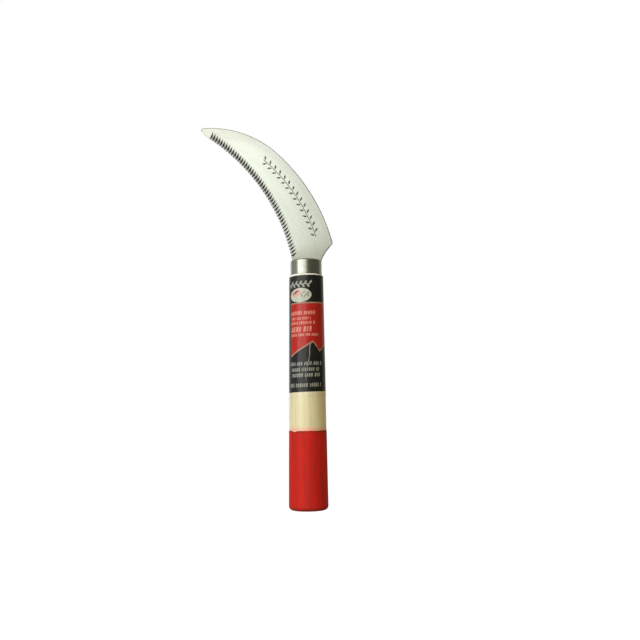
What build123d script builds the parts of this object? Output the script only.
from build123d import *
import os
from math import atan2, cos, degrees, radians, sin, sqrt

# A curved saw-tooth harvest knife that doesn't fold. One stainless plate is blade and tang, held in a
# turned wooden handle by a ferrule and one nail.
#
# Millimetres. +Z runs up the handle's axis, and the origin is the centre of the butt's flat end.
# The blade lies in the XZ plane and sweeps up and over towards -X. Its ground face looks towards -Y.

# ---------------------------------------------------------------- driving dimensions
# Handle
handle_top = 160.2           # top of the wooden shoulder, where the ferrule starts
butt_radius = 13.25          # the handle's radius at the butt, under the paint
shoulder_radius = 11.7       # the handle's radius just under its shoulder
shoulder_height = 1.3        # height of the rounded shoulder
shoulder_seat = 0.6          # width of the flat that the ferrule's rim rests on
shoulder_bulge = 0.17        # how far the shoulder's round has come in, shoulder_seat below its top
butt_rounding = 2.6

# Paint on the butt
paint_height = 53.4
paint_thickness = 0.25
paint_lip = 0.3              # height over which the coat thins out to nothing

# Label
label_bottom = 75.6          # lower edge of the film's clear margin
label_top = 158.8
label_thickness = 0.12
label_seam = 2.5             # width of the open seam at the back

# Ferrule
ferrule_radius = 10.9
ferrule_height = 10.5
ferrule_wall = 0.8
ferrule_rounding = 1.3

# Blade plate
blade_thickness = 1.2
seat_depth = 1.8             # how far the blade's neck sits down into the ferrule
edge_centre = (-149.1, 143.3)
edge_radius = 142.2          # the hollow toothed edge is one arc
spine_centre = (-112.6, 149.7)
spine_radius = 135.7         # the long part of the spine
crown_radius = 70.0          # the rounder part of the spine near the point
crown_bearing = 47.0         # where one spine arc runs into the other
nose_centre = (-72.0, 266.1)
nose_radius = 1.55
nose_left = 160.0            # bearing of the nose's leftmost stretch
nose_flank = 222.0           # bearing where the nose runs into the blunt flank
flank_middle = (-71.3, 263.0)
flank_end_x = -68.5          # where the blunt flank meets the toothed edge
heel_height = 182.9
heel_rounding = 1.0
notch_top = (16.3, 179.6)
notch_middle = (13.0, 175.1)
edge_break = 0.5             # chamfer on both faces, along the spine and round the nose

# Tang
tang_end = 104.0
tang_half_top = 6.5
tang_half_end = 4.5

# Teeth: V grooves ground across the toothed edge. Bearings and leans are in degrees.
tooth_count = 48
tooth_pitch_tip = 2.12
tooth_pitch_heel = 2.36
first_tooth_bearing = 54.6
groove_length_tip = 5.9
groove_length_heel = 5.3
groove_waist = 0.62          # where a groove starts to run out, as a share of its length
groove_width = 1.6           # at the toothed edge
groove_depth = 1.9           # there: deeper than the plate, so each groove opens a gap in the edge
waist_width = 0.85
waist_depth = 0.65
groove_over = 1.0            # how far the cutter runs out past the toothed edge
groove_clear = 0.3           # how far the cutter stands in front of the ground face
lean_tip = 19.0              # how far a groove leans from the inward normal towards the point
lean_heel = 31.0

# Etched sprig, on an arc about spine_centre
sprig_depth = 0.08
sprig_radius = 125.7
sprig_start = 17.5
sprig_end = 48.5
sprig_leaves = 14            # on each side of the stem
leaf_length = 3.3
leaf_width = 1.25
leaf_widest = 0.45           # where a leaf is widest, as a share of its length
leaf_gap = 0.55              # from the stem's centre line to a leaf's root
leaf_slant = 40.0            # degrees between a leaf and the stem
stem_width = 0.5

# Nail
nail_radius = 1.0
nail_height = 164.6
nail_reach = 5.5             # how far the point goes past the blade, towards -Y
nail_point = 1.6
nail_head_radius = 1.9
nail_head_height = 0.45
nail_head_rim = 0.1          # how far inside the ferrule's outer wall the dome ends
nail_head_bed = 1.0          # blank below the dome, shaped by the ferrule's round wall

# Cutters
cut_clearance = 0.1          # how far a cutter stands outside what it cuts


def at_bearing(centre, radius, bearing):
    """The point (x, z) on a circle at a bearing in degrees, from +X towards +Z."""
    angle = radians(bearing)
    return (centre[0] + radius * cos(angle), centre[1] + radius * sin(angle))


def bearing_of(centre, point):
    """The bearing in degrees of a point (x, z) seen from a centre."""
    return degrees(atan2(point[1] - centre[1], point[0] - centre[0]))


def circle_x(centre, radius, z):
    """The right-hand x of a circle at a height."""
    return centre[0] + sqrt(radius**2 - (z - centre[1]) ** 2)


def circle_z(centre, radius, x):
    """The upper z of a circle at an x."""
    return centre[1] + sqrt(radius**2 - (x - centre[0]) ** 2)


def wood_radius(z):
    """The handle's radius at a height: one long even taper."""
    taper = (butt_radius - shoulder_radius) / (handle_top - shoulder_height)
    return butt_radius - taper * z


def turned(*outline):
    """A solid of revolution about Z from outline edges in the XZ plane."""
    with BuildPart() as shape:
        with BuildSketch(Plane.XZ):
            with BuildLine():
                for edge in outline:
                    add(edge)
            make_face()
        revolve(axis=Axis.Z)
    return shape.part


# ---------------------------------------------------------------- worked out from them
ferrule_top = handle_top + ferrule_height
neck_bottom = ferrule_top - seat_depth
tenon_radius = ferrule_radius - ferrule_wall
ground_face = -blade_thickness / 2
crown_centre = at_bearing(spine_centre, spine_radius - crown_radius, crown_bearing)


# ---------------------------------------------------------------- blade
def blade_outline():
    """The plate's outline: toothed edge, point, spine, heel, notch, neck and tang."""
    neck_left = (-ferrule_radius, neck_bottom)
    edge_start = (circle_x(edge_centre, edge_radius, ferrule_top), ferrule_top)
    edge_end = (flank_end_x, circle_z(edge_centre, edge_radius, flank_end_x))
    half_way = (bearing_of(edge_centre, edge_start) + bearing_of(edge_centre, edge_end)) / 2
    edge_middle = at_bearing(edge_centre, edge_radius, half_way)
    nose_low = at_bearing(nose_centre, nose_radius, nose_flank)
    nose_middle = at_bearing(nose_centre, nose_radius, nose_left)
    nose_top = (nose_centre[0], circle_z(crown_centre, crown_radius, nose_centre[0]))
    half_way = (bearing_of(crown_centre, nose_top) + crown_bearing) / 2
    crown_middle = at_bearing(crown_centre, crown_radius, half_way)
    crown_end = at_bearing(spine_centre, spine_radius, crown_bearing)
    heel = (circle_x(spine_centre, spine_radius, heel_height), heel_height)
    half_way = (bearing_of(spine_centre, heel) + crown_bearing) / 2
    spine_middle = at_bearing(spine_centre, spine_radius, half_way)
    with BuildSketch() as outline:
        with BuildLine():
            Line(neck_left, edge_start)
            ThreePointArc(edge_start, edge_middle, edge_end)
            ThreePointArc(edge_end, flank_middle, nose_low)
            ThreePointArc(nose_low, nose_middle, nose_top)
            ThreePointArc(nose_top, crown_middle, crown_end)
            ThreePointArc(crown_end, spine_middle, heel)
            Line(heel, notch_top)
            ThreePointArc(notch_top, notch_middle, (ferrule_radius, ferrule_top))
            Polyline(
                (ferrule_radius, ferrule_top),
                (ferrule_radius, neck_bottom),
                (tang_half_top, neck_bottom),
                (tang_half_end, tang_end + tang_half_end),
                (0, tang_end),
                (-tang_half_end, tang_end + tang_half_end),
                (-tang_half_top, neck_bottom),
                neck_left,
            )
        make_face()
        fillet(outline.vertices().sort_by_distance((heel[0], heel[1], 0))[0], heel_rounding)
    return outline.sketch


def plate(outline, nearest, farthest):
    """An outline drawn in (x, z), made solid between two depths below the ground face."""
    raised = extrude(outline, amount=farthest - nearest)
    # Plane.XZ looks towards -Y, so the plate is drawn from its far side towards the ground face.
    return Plane.XZ.offset(-ground_face - farthest) * raised


def groove_cutter(bearing, lean, length):
    """One tooth groove: a V that opens the edge, narrows slowly and then runs out to a point."""
    edge_point = at_bearing(edge_centre, edge_radius, bearing)
    along = radians(bearing + lean)

    def corner(forward, sideways, depth):
        x = edge_point[0] + forward * cos(along) - sideways * sin(along)
        z = edge_point[1] + forward * sin(along) + sideways * cos(along)
        return (x, ground_face + depth, z)

    def section(forward, width, depth):
        """The V's bottom, left and right corners, with its upper ones in front of the ground face."""
        half = width / 2 * (1 + groove_clear / depth)
        upper = [corner(forward, side * half, -groove_clear) for side in (1, -1)]
        return corner(forward, 0, depth), *upper

    waist = groove_waist * length
    growth = groove_over / waist
    start_width = groove_width + (groove_width - waist_width) * growth
    start_depth = groove_depth + (groove_depth - waist_depth) * growth
    bottom, left, right = section(-groove_over, start_width, start_depth)
    waist_bottom, waist_left, waist_right = section(waist, waist_width, waist_depth)
    run_out = waist + (length - waist) * (1 + groove_clear / waist_depth)
    point = corner(run_out, 0, -groove_clear)
    sides = [
        (bottom, left, right),
        (bottom, waist_bottom, left),
        (waist_bottom, waist_left, left),
        (bottom, right, waist_bottom),
        (waist_bottom, right, waist_right),
        (waist_bottom, point, waist_left),
        (waist_bottom, waist_right, point),
        (left, waist_left, point, waist_right, right),
    ]
    return Solid(Shell([Face(Wire.make_polygon(side)) for side in sides]))


def tooth_cutters():
    """Every groove from the point to the ferrule. Pitch, lean and length change evenly on the way."""
    cutters = []
    travelled = 0.0
    for number in range(tooth_count):
        share = number / (tooth_count - 1)
        bearing = first_tooth_bearing - degrees(travelled / edge_radius)
        lean = lean_tip + share * (lean_heel - lean_tip)
        length = groove_length_tip + share * (groove_length_heel - groove_length_tip)
        cutters.append(groove_cutter(bearing, lean, length))
        travelled += tooth_pitch_tip + share * (tooth_pitch_heel - tooth_pitch_tip)
    return cutters


def leaf(root, bearing):
    """A slim leaf in (x, z) from its root along a bearing: two arcs that meet in two points."""
    tip = at_bearing(root, leaf_length, bearing)
    middle = at_bearing(root, leaf_length * leaf_widest, bearing)
    with BuildSketch() as shape:
        with BuildLine():
            ThreePointArc(root, at_bearing(middle, leaf_width / 2, bearing + 90), tip)
            ThreePointArc(tip, at_bearing(middle, leaf_width / 2, bearing - 90), root)
        make_face()
    return shape.sketch


def sprig_outlines():
    """A plain sprig that follows the blade: a stem with a leaf on either side in turn."""
    stem_ends = [at_bearing(spine_centre, sprig_radius, b) for b in (sprig_start, sprig_end)]
    stem_middle = at_bearing(spine_centre, sprig_radius, (sprig_start + sprig_end) / 2)
    stem_line = ThreePointArc(stem_ends[0], stem_middle, stem_ends[1])
    outlines = [trace(stem_line, line_width=stem_width)]
    step = (sprig_end - sprig_start) / (2 * sprig_leaves)
    for number in range(2 * sprig_leaves):
        bearing = sprig_start + (number + 0.5) * step
        side = 1 if number % 2 else -1
        root = at_bearing(spine_centre, sprig_radius + side * leaf_gap, bearing)
        outlines.append(leaf(root, bearing + 90 - side * (90 - leaf_slant)))
    return outlines


def edge_breaker(centre, radius, first, last):
    """A cutter for the chamfers on both faces along an arc of the outline, between two bearings."""
    face = blade_thickness / 2
    outside = radius + cut_clearance
    inside = radius - edge_break - cut_clearance
    level = face + cut_clearance
    foot = face - edge_break - cut_clearance
    with BuildPart() as ring:
        with BuildSketch(Plane.XZ.rotated((0, 0, first))):
            Polygon((inside, level), (outside, foot), (outside, level), align=None)
            Polygon((inside, -level), (outside, -level), (outside, -foot), align=None)
        revolve(axis=Axis.Z, revolution_arc=last - first)
    return Pos(centre[0], 0, centre[1]) * Rot(90, 0, 0) * ring.part


def edge_breakers():
    """The cutters for the spine's two arcs and for the nose."""
    heel = (circle_x(spine_centre, spine_radius, heel_height), heel_height)
    nose_top = (nose_centre[0], circle_z(crown_centre, crown_radius, nose_centre[0]))
    return [
        edge_breaker(spine_centre, spine_radius, bearing_of(spine_centre, heel), crown_bearing),
        edge_breaker(crown_centre, crown_radius, crown_bearing, bearing_of(crown_centre, nose_top)),
        edge_breaker(nose_centre, nose_radius, bearing_of(nose_centre, nose_top), nose_flank),
    ]


def make_blade():
    body = plate(blade_outline(), 0, blade_thickness)
    body -= edge_breakers()
    body -= tooth_cutters()
    body -= [plate(outline, -cut_clearance, sprig_depth) for outline in sprig_outlines()]
    body -= nail_shank()
    return body


# ---------------------------------------------------------------- nail
def lying(shape):
    """A shape turned about Z, laid down so that its own +Z points to the knife's -Y."""
    return Pos(0, 0, nail_height) * Rot(90, 0, 0) * shape


def nail_shank():
    """The nail below its head: a round shank with a short point, driven in from the back."""
    start = -ferrule_radius
    end = blade_thickness / 2 + nail_reach
    outline = Polyline(
        (0, start),
        (nail_radius, start),
        (nail_radius, end - nail_point),
        (0, end),
        (0, start),
    )
    return lying(turned(outline))


def make_nail():
    """The nail with its low domed head, which beds on the ferrule's round wall."""
    wall = -ferrule_radius
    crown = wall - nail_head_height
    rim = (nail_head_radius, wall + nail_head_rim)
    dome = TangentArc((0, crown), rim, tangent=(1, 0))
    inside = wall + nail_head_bed
    underside = Polyline(rim, (nail_head_radius, inside), (0, inside))
    middle = Line((0, inside), (0, crown))
    head = lying(turned(dome, underside, middle))
    bed = Pos(0, 0, nail_height) * Cylinder(ferrule_radius, 2 * ferrule_height)
    return nail_shank() + (head - bed)


# ---------------------------------------------------------------- handle
def make_handle():
    """The turned wooden handle, with the tenon for the ferrule and the slot for the tang."""
    base = paint_thickness
    corner_radius = wood_radius(base + butt_rounding)
    flat = corner_radius - butt_rounding
    shoulder_start = handle_top - shoulder_height
    rise = butt_rounding * (1 - cos(radians(45)))
    bottom = Line((0, base), (flat, base))
    rounding = ThreePointArc(
        (flat, base), (corner_radius - rise, base + rise), (corner_radius, base + butt_rounding)
    )
    side = Line((corner_radius, base + butt_rounding), (shoulder_radius, shoulder_start))
    shoulder = ThreePointArc(
        (shoulder_radius, shoulder_start),
        (shoulder_radius - shoulder_bulge, handle_top - shoulder_seat),
        (tenon_radius + shoulder_seat, handle_top),
    )
    tenon = Polyline(
        (tenon_radius + shoulder_seat, handle_top),
        (tenon_radius, handle_top),
        (tenon_radius, neck_bottom),
        (0, neck_bottom),
        (0, base),
    )
    wood = turned(bottom, rounding, side, shoulder, tenon)
    wood -= plate(blade_outline(), 0, blade_thickness)
    wood -= nail_shank()
    return wood


def make_paint():
    """The dipped coat on the butt: a thin cup that closes over the handle's end."""
    inner = wood_radius(paint_height)
    low = wood_radius(paint_thickness + butt_rounding)
    flat = low - butt_rounding
    outer_rounding = butt_rounding + paint_thickness
    diagonal = cos(radians(45))
    outside = [
        Line((0, 0), (flat, 0)),
        ThreePointArc(
            (flat, 0),
            (flat + outer_rounding * diagonal, outer_rounding * (1 - diagonal)),
            (low + paint_thickness, outer_rounding),
        ),
        Line((low + paint_thickness, outer_rounding), (inner + paint_thickness, paint_height - paint_lip)),
        Line((inner + paint_thickness, paint_height - paint_lip), (inner, paint_height)),
    ]
    inside = [
        Line((inner, paint_height), (low, paint_thickness + butt_rounding)),
        ThreePointArc(
            (low, paint_thickness + butt_rounding),
            (flat + butt_rounding * diagonal, paint_thickness + butt_rounding * (1 - diagonal)),
            (flat, paint_thickness),
        ),
        Line((flat, paint_thickness), (0, paint_thickness)),
        Line((0, paint_thickness), (0, 0)),
    ]
    return turned(*outside, *inside)


def make_label():
    """The label's film, wrapped round the handle's taper and left open at the back."""
    low = wood_radius(label_bottom)
    high = wood_radius(label_top)
    film = turned(
        Polyline(
            (low, label_bottom),
            (low + label_thickness, label_bottom),
            (high + label_thickness, label_top),
            (high, label_top),
            (low, label_bottom),
        )
    )
    length = label_top - label_bottom
    seam = Pos(0, butt_radius, label_bottom + length / 2) * Box(label_seam, 2 * butt_radius, length + 2)
    return film - seam


# ---------------------------------------------------------------- ferrule
def make_ferrule():
    """A drawn cap with a rounded top, slotted right across for the blade's neck."""
    tangent = ferrule_rounding * (1 - cos(radians(45)))
    outside = ferrule_radius
    inside = tenon_radius
    ceiling = ferrule_top - ferrule_wall
    inner_rounding = ferrule_rounding - ferrule_wall
    inner_tangent = inner_rounding * (1 - cos(radians(45)))
    wall = [
        Line((outside, handle_top), (outside, ferrule_top - ferrule_rounding)),
        ThreePointArc(
            (outside, ferrule_top - ferrule_rounding),
            (outside - tangent, ferrule_top - tangent),
            (outside - ferrule_rounding, ferrule_top),
        ),
        Line((outside - ferrule_rounding, ferrule_top), (0, ferrule_top)),
        Line((0, ferrule_top), (0, ceiling)),
        Line((0, ceiling), (inside - inner_rounding, ceiling)),
        ThreePointArc(
            (inside - inner_rounding, ceiling),
            (inside - inner_tangent, ceiling - inner_tangent),
            (inside, ceiling - inner_rounding),
        ),
        Line((inside, ceiling - inner_rounding), (inside, handle_top)),
        Line((inside, handle_top), (outside, handle_top)),
    ]
    cap = turned(*wall)
    cap -= plate(blade_outline(), 0, blade_thickness)
    cap -= nail_shank()
    return cap


# ---------------------------------------------------------------- the pieces
nodes = {
    "blade": make_blade,
    "ferrule": make_ferrule,
    "tang_nail": make_nail,
    "handle": make_handle,
    "label_wrap": make_label,
    "butt_paint": make_paint,
}

os.makedirs("parts", exist_ok=True)
for name, make in nodes.items():
    export_step(make(), f"parts/{name}.step")
